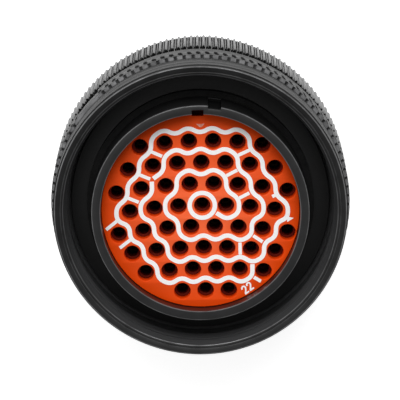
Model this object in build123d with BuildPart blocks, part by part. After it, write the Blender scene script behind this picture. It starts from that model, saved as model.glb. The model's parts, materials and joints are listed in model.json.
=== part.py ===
"""Circular plug connector, size 36, with a threaded coupling ring and 52 contact cavities.

Millimetres. The connector stands on the rear face of its grip nut: the origin is the middle of
that face, +Z runs along the axis to the mating face, and +Y points to the insert keyway.
"""

import os
from math import asin, cos, degrees, hypot, pi, radians, sin

from build123d import *

# Overall length and the clearances that the pieces share
connector_length = 46.0
running_clearance = 0.1
seat_clearance = 0.05

# Contact cavities: rows run across the face, and each row bows towards the insert keyway
row_counts = [6, 7, 8, 7, 8, 7, 6, 3]
first_row_number = 3
cavity_pitch = 5.47
pitch_growth_per_row = 0.03
end_spread = 0.00006
row_pitch = 4.987
row_bow = 0.0048
bow_growth_per_row = 0.00032
row_slant = 0.0111
row_drift = 0.0144
field_offset_x = 0.45
field_offset_y = 1.0
cavity_diameter = 3.8
front_insert_bore = 2.7
plate_bore = 3.9
clip_backing_bore = 2.7
grommet_bore = 2.6
hidden_bore_sides = 6

# Insert stack inside the shell
face_edge_wall = 0.148
face_recess = 4.5
face_seal_thickness = 3.5
seal_notch_depth = 0.9
front_insert_length = 10.0
front_insert_land = 4.0
clip_end_play = 0.1
clip_backing_thickness = 1.5
insert_radial_clearance = 0.1
insert_key_length = 3.0
insert_retainer_thickness = 1.0
insert_retainer_width = 1.5
insert_retainer_groove = 0.7
insert_retainer_gap = 9.0
follower_thickness = 2.0
follower_width = 2.5
slip_washer_thickness = 0.5

# Plug shell: front barrel, flange, bearing for the coupling ring, rear thread
barrel_wall = 2.1
barrel_edge_chamfer = 0.35
flange_clearance = 1.2
flange_thickness = 2.5
flange_front_depth = 16.0
bearing_step = 1.6
rear_thread_step = 1.0
rear_thread_chamfer = 0.8
rear_bore_step = 0.8
shell_tail_gap = 0.5

# Keyways of the barrel
insert_keyway_width = 2.7
insert_keyway_depth = 1.0
outer_keyway_width = 3.0
outer_keyway_depth = 0.9
outer_keyway_length = 12.0
outer_keyway_angle = 81.0

# Rubber seal at the foot of the barrel
barrel_seal_step = 1.4
barrel_seal_height = 2.2
barrel_seal_groove_depth = 0.3

# Coupling ring: smooth nose, mouth with a sloping face and a lead-in, inner thread, rear shoulder
mating_gap = 5.95
ring_wall = 3.15
ring_setback = 2.4
ring_edge_chamfer = 0.5
ring_face_slope = 1.3
ring_lead_in_width = 0.75
ring_lead_in_depth = 1.9
ring_shoulder_thickness = 3.0
ring_skirt_wall = 2.6
thread_relief_depth = 0.35
thread_relief_length = 3.2

# Knurled band of the coupling ring, with the bare patch and the wire hole that interrupt it
knurl_rise = 0.35
knurl_front_depth = 13.0
knurl_rear_margin = 1.4
bare_patch_angle = 138.0
bare_patch_span = 12.0
patch_recess_depth = 1.0
patch_recess_length = 4.8
wire_hole_angle = 65.0
wire_hole_diameter = 1.6

# Rings that hold the coupling ring on the shell
thrust_washer_thickness = 0.6
disc_spring_thickness = 0.35
disc_spring_height = 1.1
disc_spring_clearance = 0.5
backing_washer_thickness = 0.5
backing_washer_clearance = 0.9
retaining_ring_thickness = 1.2
retaining_ring_width = 2.7
retaining_ring_gap = 7.0
retaining_groove_depth = 1.0
land_behind_groove = 0.9

# Socket contacts, sunk deep in the cavities, and the clip behind each contact's collar
contact_diameter = 2.4
contact_collar_diameter = 3.4
contact_collar_length = 1.2
contact_sink_depth = 9.0
contact_length = 17.0
contact_bore = 1.6
contact_bore_depth = 7.0
clip_diameter = 3.8
clip_bore = 2.6
clip_length = 6.0

# Grip nut behind the coupling ring
nut_ring_gap = 2.0
nut_end_gap = 0.95
nut_rise = 0.8
nut_ridge_count = 146
nut_ridge_height = 0.7
nut_ridge_share = 0.62
nut_neck_step = 1.7
nut_neck_length = 1.0
nut_tail_length = 1.2
nut_lip_thickness = 4.5
nut_lip_overhang = 0.5
nut_lip_chamfer = 1.2
nut_seal_length = 2.0
nut_seal_width = 2.0


def cavity_places():
    """Centres of the contact cavities on the face, row by row from the keyway side."""
    places = []
    for index, count in enumerate(row_counts):
        row = first_row_number - index
        pitch = cavity_pitch + pitch_growth_per_row * row
        bow = row_bow + bow_growth_per_row * row
        for hole in range(count):
            across = (hole - (count - 1) / 2) * pitch
            x = across + end_spread * across ** 3 + row_drift * row ** 2
            y = row * row_pitch - bow * across ** 2 - row_slant * across
            places.append((x + field_offset_x, y + field_offset_y))
    return places


# Radii, worked out from the cavity field outwards
field_reach = max(hypot(x, y) for x, y in cavity_places())
front_insert_radius = field_reach + cavity_diameter / 2 + face_edge_wall
bore_radius = front_insert_radius + insert_radial_clearance
rear_bore_radius = bore_radius + rear_bore_step
rear_insert_radius = rear_bore_radius - insert_radial_clearance
follower_bore_radius = rear_insert_radius - follower_width
barrel_radius = bore_radius + barrel_wall
seal_groove_radius = barrel_radius - barrel_seal_groove_depth
ring_thread_radius = barrel_radius + mating_gap
relief_radius = ring_thread_radius + thread_relief_depth
flange_radius = relief_radius - flange_clearance
bearing_radius = flange_radius - bearing_step
groove_radius = bearing_radius - retaining_groove_depth
thread_radius = bearing_radius - rear_thread_step
ring_radius = ring_thread_radius + ring_wall
skirt_radius = ring_radius - ring_skirt_wall
knurl_radius = ring_radius + knurl_rise
nut_radius = ring_radius + nut_rise
nut_seal_radius = thread_radius + nut_seal_width

# Stations along the axis, worked out from the mating end backwards
barrel_front = connector_length
flange_front = barrel_front - flange_front_depth
flange_rear = flange_front - flange_thickness
barrel_seal_front = flange_front + barrel_seal_height
ring_front = barrel_front - ring_setback
shoulder_front = flange_rear - thrust_washer_thickness - running_clearance
shoulder_rear = shoulder_front - ring_shoulder_thickness
spring_rear = shoulder_rear - disc_spring_height - running_clearance
groove_front = spring_rear - backing_washer_thickness
groove_rear = groove_front - retaining_ring_thickness - seat_clearance
bearing_rear = groove_rear - land_behind_groove
nut_front = bearing_rear - nut_end_gap
ring_rear = nut_front + nut_ring_gap
slip_washer_front = nut_lip_thickness + slip_washer_thickness
follower_front = slip_washer_front + follower_thickness
shell_rear = nut_lip_thickness + shell_tail_gap
seal_front = barrel_front - face_recess
seal_rear = seal_front - face_seal_thickness
bore_step = seal_rear - front_insert_land
front_insert_rear = seal_rear - front_insert_length
retention_plate_thickness = contact_collar_length + clip_length + clip_end_play
plate_rear = front_insert_rear - retention_plate_thickness
stack_rear = plate_rear - clip_backing_thickness
retainer_rear = stack_rear - insert_retainer_thickness


def flat_ring(inner_radius, outer_radius, bottom, thickness):
    """A plain washer on the axis, which stands at the given height."""
    with BuildPart() as ring:
        with BuildSketch(Plane.XY.offset(bottom)):
            Circle(outer_radius)
            Circle(inner_radius, mode=Mode.SUBTRACT)
        extrude(amount=thickness)
    return ring


def split_ring(inner_radius, outer_radius, bottom, thickness, gap):
    """An open spring ring on the axis, with its gap on the side away from the keyway."""
    half_gap = degrees(asin(gap / 2 / outer_radius))
    first_end = half_gap - 90
    arc_size = 360 - 2 * half_gap
    with BuildPart() as ring:
        with BuildSketch(Plane.XY.offset(bottom)):
            with BuildLine():
                outer = CenterArc((0, 0), outer_radius, first_end, arc_size)
                inner = CenterArc((0, 0), inner_radius, first_end, arc_size)
                Line(outer @ 0, inner @ 0)
                Line(outer @ 1, inner @ 1)
            make_face()
        extrude(amount=thickness)
    return ring


def bored_disc(radius, bottom, thickness, bore):
    """A disc that fills the shell, with a flat-sided bore at every cavity."""
    with BuildPart() as disc:
        with BuildSketch(Plane.XY.offset(bottom)):
            Circle(radius)
            with Locations(*cavity_places()):
                RegularPolygon(bore / 2, hidden_bore_sides, mode=Mode.SUBTRACT)
        extrude(amount=thickness)
    return disc


# Plug shell: one turned piece with two keyways broached in the barrel
with BuildPart() as plug_shell:
    with BuildSketch(Plane.XZ):
        with BuildLine():
            Polyline(
                (bore_radius, barrel_front),
                (barrel_radius - barrel_edge_chamfer, barrel_front),
                (barrel_radius, barrel_front - barrel_edge_chamfer),
                (barrel_radius, barrel_seal_front),
                (seal_groove_radius, barrel_seal_front),
                (seal_groove_radius, flange_front),
                (flange_radius, flange_front),
                (flange_radius, flange_rear),
                (bearing_radius, flange_rear),
                (bearing_radius, groove_front),
                (groove_radius, groove_front),
                (groove_radius, groove_rear),
                (bearing_radius, groove_rear),
                (bearing_radius, bearing_rear),
                (thread_radius, bearing_rear),
                (thread_radius, shell_rear + rear_thread_chamfer),
                (thread_radius - rear_thread_chamfer, shell_rear),
                (rear_bore_radius, shell_rear),
                (rear_bore_radius, retainer_rear),
                (rear_bore_radius + insert_retainer_groove, retainer_rear),
                (rear_bore_radius + insert_retainer_groove, stack_rear),
                (rear_bore_radius, stack_rear),
                (rear_bore_radius, bore_step),
                (bore_radius, bore_step),
                close=True,
            )
        make_face()
    revolve(axis=Axis.Z)
    with BuildSketch(Plane.XY.offset(barrel_front)):
        with Locations((0, bore_radius)):
            Rectangle(insert_keyway_width, 2 * insert_keyway_depth)
    extrude(amount=bore_step - barrel_front, mode=Mode.SUBTRACT)
    with BuildSketch(Plane.XY.offset(barrel_front)):
        with PolarLocations(barrel_radius, 1, outer_keyway_angle):
            Rectangle(2 * outer_keyway_depth, outer_keyway_width)
    extrude(amount=-outer_keyway_length, mode=Mode.SUBTRACT)

# Coupling ring: one turned piece, whose shoulder turns behind the flange of the shell
with BuildPart() as coupling_ring:
    mouth_rear = ring_front - ring_face_slope
    lead_in_rear = mouth_rear - ring_lead_in_depth
    knurl_front = barrel_front - knurl_front_depth
    knurl_rear = ring_rear + knurl_rear_margin
    relief_front = flange_front + thread_relief_length
    shoulder_radius = bearing_radius + running_clearance
    with BuildSketch(Plane.XZ):
        with BuildLine():
            Polyline(
                (ring_thread_radius + ring_lead_in_width, mouth_rear),
                (ring_radius - ring_edge_chamfer, ring_front),
                (ring_radius, ring_front - ring_edge_chamfer),
                (ring_radius, knurl_front),
                (knurl_radius, knurl_front),
                (knurl_radius, knurl_rear),
                (ring_radius, knurl_rear),
                (ring_radius, ring_rear),
                (skirt_radius, ring_rear),
                (skirt_radius, shoulder_rear),
                (shoulder_radius, shoulder_rear),
                (shoulder_radius, shoulder_front),
                (relief_radius, shoulder_front),
                (relief_radius, relief_front),
                (ring_thread_radius, relief_front),
                (ring_thread_radius, lead_in_rear),
                close=True,
            )
        make_face()
    revolve(axis=Axis.Z)
    # The bare patch is the band turned down to the ring's own size over a short arc, with a
    # deeper recess in its rear half
    patch_start = radians(bare_patch_angle - bare_patch_span / 2)
    patch_end = radians(bare_patch_angle + bare_patch_span / 2)
    patch_reach = 2 * knurl_radius
    recess_front = knurl_rear + patch_recess_length
    recess_floor = ring_radius - patch_recess_depth
    for cut_front, cut_floor in ((knurl_front, ring_radius), (recess_front, recess_floor)):
        with BuildSketch(Plane.XY.offset(cut_front)):
            with BuildLine():
                Polyline(
                    (0, 0),
                    (patch_reach * cos(patch_start), patch_reach * sin(patch_start)),
                    (patch_reach * cos(patch_end), patch_reach * sin(patch_end)),
                    close=True,
                )
            make_face()
            Circle(cut_floor, mode=Mode.SUBTRACT)
        extrude(amount=knurl_rear - cut_front, mode=Mode.SUBTRACT)
    # The wire hole runs straight into the knurled band
    wire_hole_plane = Plane(
        origin=(knurl_radius * cos(radians(wire_hole_angle)),
                knurl_radius * sin(radians(wire_hole_angle)),
                (knurl_front + knurl_rear) / 2),
        z_dir=(cos(radians(wire_hole_angle)), sin(radians(wire_hole_angle)), 0),
    )
    with BuildSketch(wire_hole_plane):
        Circle(wire_hole_diameter / 2)
    extrude(amount=relief_radius - knurl_radius - wire_hole_diameter, mode=Mode.SUBTRACT)

# Thrust washer between the flange and the shoulder
thrust_washer = flat_ring(
    bearing_radius + seat_clearance,
    flange_radius,
    flange_rear - thrust_washer_thickness,
    thrust_washer_thickness,
)

# Disc spring behind the shoulder: a shallow cone that takes up the play
with BuildPart() as disc_spring:
    spring_inner = bearing_radius + seat_clearance
    spring_outer = skirt_radius - disc_spring_clearance
    spring_rise = disc_spring_height - disc_spring_thickness
    with BuildSketch(Plane.XZ):
        with BuildLine():
            Polyline(
                (spring_inner, spring_rear),
                (spring_outer, spring_rear + spring_rise),
                (spring_outer, spring_rear + spring_rise + disc_spring_thickness),
                (spring_inner, spring_rear + disc_spring_thickness),
                close=True,
            )
        make_face()
    revolve(axis=Axis.Z)

# Washer that spreads the spring's load on the split ring behind it
backing_washer = flat_ring(
    bearing_radius + seat_clearance,
    skirt_radius - backing_washer_clearance,
    groove_front,
    backing_washer_thickness,
)

# Retaining ring in the groove of the shell
retaining_ring = split_ring(
    groove_radius + seat_clearance,
    groove_radius + seat_clearance + retaining_ring_width,
    groove_rear + seat_clearance,
    retaining_ring_thickness,
    retaining_ring_gap,
)

# Seal in a shallow groove at the foot of the barrel, where the mating shell closes
barrel_seal = flat_ring(
    seal_groove_radius + seat_clearance,
    barrel_radius + barrel_seal_step,
    flange_front,
    barrel_seal_height,
)

# Face seal: the soft face, with a round mouth over every cavity and a notch at the insert keyway
with BuildPart() as face_seal:
    with BuildSketch(Plane.XY.offset(seal_rear)):
        Circle(front_insert_radius)
        with Locations(*cavity_places()):
            Circle(cavity_diameter / 2, mode=Mode.SUBTRACT)
        with Locations((0, front_insert_radius)):
            Rectangle(insert_keyway_width, 2 * seal_notch_depth, mode=Mode.SUBTRACT)
    extrude(amount=face_seal_thickness)

# Front insert: seats on the step of the bore, and its key stands in the insert keyway
with BuildPart() as front_insert:
    with BuildSketch(Plane.XY.offset(front_insert_rear)):
        Circle(front_insert_radius)
    extrude(amount=front_insert_length)
    with BuildSketch(Plane.XY.offset(front_insert_rear)):
        Circle(rear_insert_radius)
    extrude(amount=bore_step - front_insert_rear)
    with BuildSketch(Plane.XY.offset(bore_step)):
        with Locations((0, bore_radius)):
            Rectangle(
                insert_keyway_width - 2 * insert_radial_clearance,
                2 * (insert_keyway_depth - insert_radial_clearance),
            )
    extrude(amount=insert_key_length)
    with BuildSketch(Plane.XY.offset(seal_rear)):
        with Locations(*cavity_places()):
            RegularPolygon(front_insert_bore / 2, hidden_bore_sides)
    extrude(amount=-front_insert_length, mode=Mode.SUBTRACT)

# Retention plate, which holds the contacts by their collars and clips
retention_plate = bored_disc(rear_insert_radius, plate_rear, retention_plate_thickness, plate_bore)

# Thin disc behind it, with narrower bores that keep the clips in
clip_backing_plate = bored_disc(
    rear_insert_radius, stack_rear, clip_backing_thickness, clip_backing_bore)

# Spring ring that holds the insert stack in the shell
insert_retainer = split_ring(
    rear_bore_radius + insert_retainer_groove - seat_clearance - insert_retainer_width,
    rear_bore_radius + insert_retainer_groove - seat_clearance,
    retainer_rear,
    insert_retainer_thickness,
    insert_retainer_gap,
)

# Rear grommet: fills the shell behind the plate and steps down inside the spring ring
with BuildPart() as rear_grommet:
    neck_radius = rear_bore_radius + insert_retainer_groove - insert_retainer_width - 2 * seat_clearance
    with BuildSketch(Plane.XY.offset(follower_front)):
        Circle(rear_insert_radius)
    extrude(amount=retainer_rear - follower_front)
    with BuildSketch(Plane.XY.offset(retainer_rear)):
        Circle(neck_radius - insert_radial_clearance)
    extrude(amount=insert_retainer_thickness)
    with BuildSketch(Plane.XY.offset(stack_rear)):
        with Locations(*cavity_places()):
            RegularPolygon(grommet_bore / 2, hidden_bore_sides)
    extrude(amount=follower_front - stack_rear, mode=Mode.SUBTRACT)

# Socket contacts: one separate solid in each cavity, whose collar stops at the front insert
with BuildPart() as socket_contacts:
    contact_front = seal_front - contact_sink_depth
    contact_rear = contact_front - contact_length
    with BuildSketch(Plane.XY.offset(contact_rear)):
        with Locations(*cavity_places()):
            RegularPolygon(contact_diameter / 2, hidden_bore_sides)
    extrude(amount=contact_length)
    with BuildSketch(Plane.XY.offset(front_insert_rear)):
        with Locations(*cavity_places()):
            RegularPolygon(contact_collar_diameter / 2, hidden_bore_sides)
    extrude(amount=-contact_collar_length)
    with BuildSketch(Plane.XY.offset(contact_front)):
        with Locations(*cavity_places()):
            RegularPolygon(contact_bore / 2, hidden_bore_sides)
    extrude(amount=-contact_bore_depth, mode=Mode.SUBTRACT)

# Contact clips: a short metal sleeve behind each collar
with BuildPart() as contact_clips:
    with BuildSketch(Plane.XY.offset(front_insert_rear - contact_collar_length)):
        with Locations(*cavity_places()):
            RegularPolygon(clip_diameter / 2, hidden_bore_sides)
            RegularPolygon(clip_bore / 2, hidden_bore_sides, mode=Mode.SUBTRACT)
    extrude(amount=-clip_length)

# Grommet follower, and the washer that lets the grip nut turn against it
grommet_follower = flat_ring(
    follower_bore_radius, rear_insert_radius, slip_washer_front, follower_thickness)
slip_washer = flat_ring(
    follower_bore_radius, rear_insert_radius, nut_lip_thickness, slip_washer_thickness)

# Seal between the grip nut and the shell
nut_seal = flat_ring(
    thread_radius + seat_clearance,
    nut_seal_radius - seat_clearance,
    nut_front - nut_seal_length,
    nut_seal_length,
)

# Grip nut: serrated all round, screwed on the rear thread of the shell
with BuildPart() as grip_nut:
    root_radius = nut_radius - nut_ridge_height
    ridge_front = nut_front - nut_neck_length
    with BuildSketch(Plane.XY):
        Circle(root_radius)
    extrude(amount=ridge_front)
    with BuildSketch(Plane.XY.offset(ridge_front)):
        Circle(nut_radius - nut_neck_step)
    extrude(amount=nut_neck_length)
    # Each ridge is a low wedge with its foot sunk in the body
    half_foot = pi * nut_ridge_share * root_radius / nut_ridge_count
    foot_radius = root_radius - nut_ridge_height / 2
    with BuildSketch(Plane.XY.offset(nut_tail_length)):
        with PolarLocations(0, nut_ridge_count):
            Polygon(
                (foot_radius, -half_foot),
                (nut_radius, -half_foot / 3),
                (nut_radius, half_foot / 3),
                (foot_radius, half_foot),
                align=None,
            )
    extrude(amount=ridge_front - nut_tail_length)
    with BuildSketch(Plane.XY.offset(nut_lip_thickness)):
        Circle(thread_radius + seat_clearance)
    extrude(amount=nut_front - nut_lip_thickness, mode=Mode.SUBTRACT)
    with BuildSketch(Plane.XY.offset(nut_front - nut_seal_length)):
        Circle(nut_seal_radius)
    extrude(amount=nut_seal_length, mode=Mode.SUBTRACT)
    with BuildSketch(Plane.XY):
        Circle(follower_bore_radius - nut_lip_overhang)
    extrude(amount=nut_lip_thickness, mode=Mode.SUBTRACT)
    chamfer(
        grip_nut.edges().filter_by(GeomType.CIRCLE).group_by(Axis.Z)[0].sort_by(SortBy.RADIUS)[0],
        nut_lip_chamfer,
    )

pieces = {
    "plug_shell": plug_shell,
    "coupling_ring": coupling_ring,
    "thrust_washer": thrust_washer,
    "disc_spring": disc_spring,
    "backing_washer": backing_washer,
    "retaining_ring": retaining_ring,
    "barrel_seal": barrel_seal,
    "face_seal": face_seal,
    "front_insert": front_insert,
    "retention_plate": retention_plate,
    "clip_backing_plate": clip_backing_plate,
    "insert_retainer": insert_retainer,
    "rear_grommet": rear_grommet,
    "socket_contacts": socket_contacts,
    "contact_clips": contact_clips,
    "grommet_follower": grommet_follower,
    "slip_washer": slip_washer,
    "nut_seal": nut_seal,
    "grip_nut": grip_nut,
}

os.makedirs("parts", exist_ok=True)
for name, piece in pieces.items():
    piece.part.label = name
    export_step(piece.part, f"parts/{name}.step")
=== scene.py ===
"""Looks of the circular connector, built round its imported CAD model.

Helper functions take millimetres and degrees in the CAD's own frame; Blender's meshes are in metres.
"""

import json
from math import asin, cos, degrees, hypot, pi, radians, sin

import bmesh
import bpy
import numpy as np
from mathutils import Matrix, Vector


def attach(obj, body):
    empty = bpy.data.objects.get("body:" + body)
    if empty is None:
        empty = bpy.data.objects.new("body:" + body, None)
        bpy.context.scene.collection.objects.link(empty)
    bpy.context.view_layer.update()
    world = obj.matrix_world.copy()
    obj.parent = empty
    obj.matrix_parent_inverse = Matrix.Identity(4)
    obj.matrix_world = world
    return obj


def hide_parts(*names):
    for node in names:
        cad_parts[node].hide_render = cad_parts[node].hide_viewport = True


MM = 0.001
SHARP_ANGLE = 32
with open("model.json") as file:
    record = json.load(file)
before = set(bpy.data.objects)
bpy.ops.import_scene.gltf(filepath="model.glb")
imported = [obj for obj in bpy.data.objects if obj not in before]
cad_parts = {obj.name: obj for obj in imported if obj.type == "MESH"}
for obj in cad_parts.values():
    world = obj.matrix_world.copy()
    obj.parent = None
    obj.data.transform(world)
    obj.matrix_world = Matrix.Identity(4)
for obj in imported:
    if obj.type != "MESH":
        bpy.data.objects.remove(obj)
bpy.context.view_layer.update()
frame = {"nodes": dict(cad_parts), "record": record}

# Sizes of the CAD model that the dressed pieces follow
CONNECTOR_LENGTH = 46.0
SEAL_FRONT = 41.5
SEAL_REAR = 38.0
BORE_STEP = 34.0
INSERT_REAR = 28.0
GROMMET_REAR = 7.0
INSERT_RADIUS = 22.8
REAR_INSERT_RADIUS = 23.6
BORE_RADIUS = 22.9
REAR_BORE_RADIUS = 23.7
BARREL_RADIUS = 25.0
SEAL_GROOVE_RADIUS = 24.7
SEAL_GROOVE_FRONT = 32.2
FLANGE_RADIUS = 30.1
FLANGE_FRONT = 30.0
FLANGE_REAR = 27.5
BEARING_RADIUS = 28.5
GROOVE_FRONT = 22.1
GROOVE_REAR = 20.85
BEARING_REAR = 19.95
REAR_THREAD_RADIUS = 27.5
SHELL_REAR = 5.0
RETAINER_GROOVE_RADIUS = 24.4
STACK_REAR = 19.2
RETAINER_REAR = 18.2
KEYWAY_ANGLE = 90.0
KEYWAY_WIDTH = 2.7
KEYWAY_DEPTH = 1.0
OUTER_KEYWAY_ANGLE = 81.0
OUTER_KEYWAY_WIDTH = 3.0
THREAD_RADIUS = 30.95
RELIEF_RADIUS = 31.3
RELIEF_FRONT = 33.2
SHOULDER_RADIUS = 28.6
SHOULDER_FRONT = 26.8
SHOULDER_REAR = 23.8
SKIRT_RADIUS = 31.5
RING_REAR = 21.0
KNURL_FRONT = 33.0
KNURL_REAR = 22.4
PATCH = (132.0, 144.0)
RECESS_FRONT = 27.2
WIRE_HOLE_ANGLE = 65.0
WIRE_HOLE_RADIUS = 0.8
NUT_FRONT = 19.0
NUT_NECK_REAR = 18.0
NUT_NECK_RADIUS = 33.2
NUT_LIP = 4.5
NUT_BORE_RADIUS = 20.6
NUT_SEAL_RADIUS = 29.5
NUT_SEAL_REAR = 17.0
NUT_RIDGE_COUNT = 146

# Sizes that follow the photograph more closely than the CAD model does
OUTER_KEYWAY_DEPTH = 0.65
RING_RADIUS = 33.93
RING_REAR_RADIUS = 34.02
KNURL_RADIUS = 34.72
KNURL_CHAMFER = 32.3
NUT_ROOT_RADIUS = 34.02
NUT_RIM_RADIUS = 34.48


# Contact cavities and the cells of the winding print

ROW_COUNTS = {3: 6, 2: 7, 1: 8, 0: 7, -1: 8, -2: 7, -3: 6, -4: 3}
COLUMN_PITCH, PITCH_GROWTH = 5.47, 0.03
ROW_PITCH = 4.987
END_SPREAD, ROW_DRIFT = 0.00006, 0.0144
ROW_BOW, BOW_GROWTH, ROW_SLANT = 0.0048, 0.00032, 0.0111
FIELD_X, FIELD_Y = 0.45, 1.0
MOUTH_RADIUS = 1.9


def cavity(column, row):
    """Centre of a cavity on the face, by its place in the bowed rows."""
    across = column * (COLUMN_PITCH + PITCH_GROWTH * row)
    x = across + END_SPREAD * across**3 + ROW_DRIFT * row**2 + FIELD_X
    y = row * ROW_PITCH - (ROW_BOW + BOW_GROWTH * row) * across**2 - ROW_SLANT * across + FIELD_Y
    return x, y


CAVITIES = [
    cavity(index - (count - 1) / 2, row) for row, count in ROW_COUNTS.items() for index in range(count)
]


def spiral_places():
    """The 37 cells that the print winds through, each with its place in the order."""
    steps = ((0.5, 1), (-0.5, 1), (-1, 0), (-0.5, -1), (0.5, -1), (1, 0))
    places = {(0.0, 0): 1}
    for ring in (1, 2, 3):
        column, row = ring / 2, -ring
        for across, up in steps:
            for _ in range(ring):
                column += across
                row += up
                places[(column, row)] = len(places) + 1
    return places


def around(cell):
    """The six cells next to a cell, in order."""
    column, row = cell
    return [
        (column + 1, row),
        (column + 0.5, row + 1),
        (column - 0.5, row + 1),
        (column - 1, row),
        (column - 0.5, row - 1),
        (column + 0.5, row - 1),
    ]


PRINT_SPREAD = (1.036, 1.027)
PRINT_SLANT = (-0.0075, 0.0035)
PRINT_OFFSET = (-0.05, 0.166)
PRINT_PULL = 0.03 / 400


def corner(cells):
    """Where three cells meet, with the print's own small spread against the cavities.

    The spread eases off with the square of the distance from the axis.
    """
    centres = [cavity(*cell) for cell in cells]
    x = sum(c[0] for c in centres) / 3
    y = sum(c[1] for c in centres) / 3
    pull = PRINT_PULL * (x * x + y * y)
    return (
        PRINT_OFFSET[0] + x * (PRINT_SPREAD[0] - pull) + PRINT_SLANT[0] * y,
        PRINT_OFFSET[1] + y * (PRINT_SPREAD[1] - pull) + PRINT_SLANT[1] * x,
    )


def wall_between(one, other):
    """The two corners of the edge that two neighbouring cells share."""
    beside = around(one)
    turn = beside.index(other)
    return (
        frozenset((one, other, beside[(turn + 1) % 6])),
        frozenset((one, other, beside[(turn - 1) % 6])),
    )


def winding_walls():
    """Edges drawn by the print: those between cells that don't follow each other."""
    places = spiral_places()
    drawn = []
    seen = set()
    for one in places:
        for other in around(one):
            pair = frozenset((one, other))
            if pair in seen:
                continue
            seen.add(pair)
            here, there = places[one], places.get(other, 0)
            if 1 in (here, there):
                continue
            if there == 0 or abs(here - there) > 1:
                drawn.append(wall_between(one, other))
    return drawn


def chained(walls):
    """Joins edges end to end into runs that stop where three meet."""
    beside = {}
    for one, other in walls:
        beside.setdefault(one, []).append(other)
        beside.setdefault(other, []).append(one)
    used = set()
    runs = []
    starts = [c for c in beside if len(beside[c]) != 2] + list(beside)
    for start in starts:
        for following in beside[start]:
            if frozenset((start, following)) in used:
                continue
            run = [start, following]
            used.add(frozenset(run))
            while len(beside[run[-1]]) == 2:
                one, other = beside[run[-1]]
                following = one if one != run[-2] else other
                if frozenset((run[-1], following)) in used:
                    break
                used.add(frozenset((run[-1], following)))
                run.append(following)
            runs.append(run)
    return runs


# Mesh helpers


def new_mesh(name, vertices, faces, sharp=SHARP_ANGLE):
    """A mesh object from points in millimetres, smooth except at sharp edges."""
    mesh = bpy.data.meshes.new(name)
    mesh.from_pydata((np.asarray(vertices, float) * MM).tolist(), [], faces)
    work = bmesh.new()
    work.from_mesh(mesh)
    bmesh.ops.recalc_face_normals(work, faces=work.faces)
    work.to_mesh(mesh)
    work.free()
    mesh.shade_smooth()
    mesh.set_sharp_from_angle(angle=radians(sharp))
    item = bpy.data.objects.new(name, mesh)
    bpy.context.scene.collection.objects.link(item)
    return item


def soften(outline, radius=0.12, steps=3):
    """Rounds the corners of a closed outline. A third number is that corner's own radius."""
    points = [np.array(p[:2], float) for p in outline]
    rounded = []
    for i, p in enumerate(points):
        before, after = points[i - 1] - p, points[(i + 1) % len(points)] - p
        long_before, long_after = np.hypot(*before), np.hypot(*after)
        own = outline[i][2] if len(outline[i]) > 2 else radius
        cut = min(own, 0.45 * long_before, 0.45 * long_after)
        before, after = before / long_before, after / long_after
        straight = before @ after < -0.999
        if cut < 0.004 or straight:
            rounded.append(p)
            continue
        start, end = p + before * cut, p + after * cut
        for k in range(steps + 1):
            t = k / steps
            rounded.append((1 - t) ** 2 * start + 2 * t * (1 - t) * p + t**2 * end)
    return np.array(rounded)


def lathe(name, outline, angles, shape=None, sharp=SHARP_ANGLE):
    """Turns a closed outline of (radius, height) about the axis.

    A list of angles that stops short of a full turn gives an arc with closed ends.
    """
    angles = np.asarray(angles, float)
    turn = np.radians(angles)
    radius = np.repeat(outline[None, :, 0], len(turn), axis=0)
    height = np.repeat(outline[None, :, 1], len(turn), axis=0)
    if shape:
        radius, height = shape(np.repeat(angles[:, None], len(outline), axis=1), radius, height)
    vertices = np.stack(
        (radius * np.cos(turn)[:, None], radius * np.sin(turn)[:, None], height), axis=-1
    ).reshape(-1, 3)
    rows, columns = radius.shape
    whole = abs((angles[-1] - angles[0]) + (angles[1] - angles[0]) - 360) < 2.5
    i = np.arange(rows if whole else rows - 1)[:, None]
    j = np.arange(columns)[None, :]
    nexti, nextj = (i + 1) % rows, (j + 1) % columns
    faces = np.stack(
        (i * columns + j, nexti * columns + j, nexti * columns + nextj, i * columns + nextj), axis=-1
    )
    faces = faces.reshape(-1, 4).tolist()
    if not whole:
        faces.append(list(range(columns)))
        faces.append(list(range((rows - 1) * columns, rows * columns)))
    return new_mesh(name, vertices, faces, sharp)


def even_turn(count):
    return np.arange(count) * 360 / count


def with_edges(angles, edges, step=0.02):
    """Adds a pair of close angles at each edge, so that a cut there has a steep side."""
    extra = [e + s for e in edges for s in (-step, step)]
    return np.unique(np.concatenate((angles, extra)))


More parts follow.
